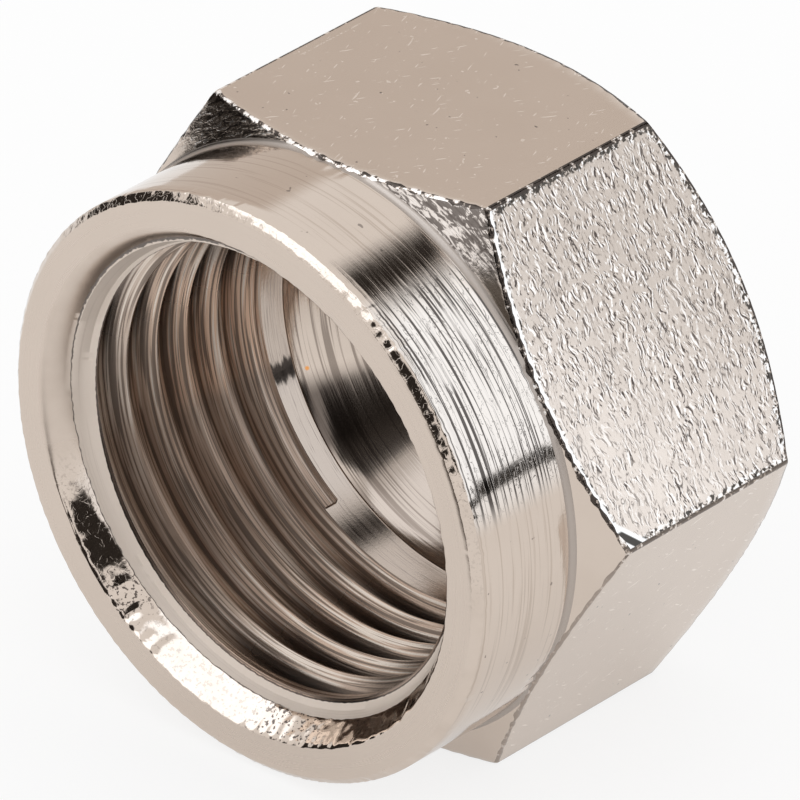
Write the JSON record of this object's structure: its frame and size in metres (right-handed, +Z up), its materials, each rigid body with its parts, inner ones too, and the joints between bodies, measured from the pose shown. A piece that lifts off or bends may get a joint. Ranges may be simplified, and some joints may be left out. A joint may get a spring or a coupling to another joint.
{
  "type": "compression nut",
  "caption": "Hexagonal compression nut with a turned collar, an internal thread, a conical seat and a plain bore for the tube.",
  "frame": {"origin": "on the nut's axis, halfway between its two end faces", "axes": "-Y out of the threaded mouth, +Y along the axis to the end where the tube leaves, +Z up through the middle of a flat"},
  "size_m": [0.0254, 0.0154, 0.022],
  "materials": {
    "plated_brass": "nickel-plated, turned and forged surfaces"
  },
  "bodies": {
    "root": {"nut": "plated_brass"}
  },
  "joints": []
}
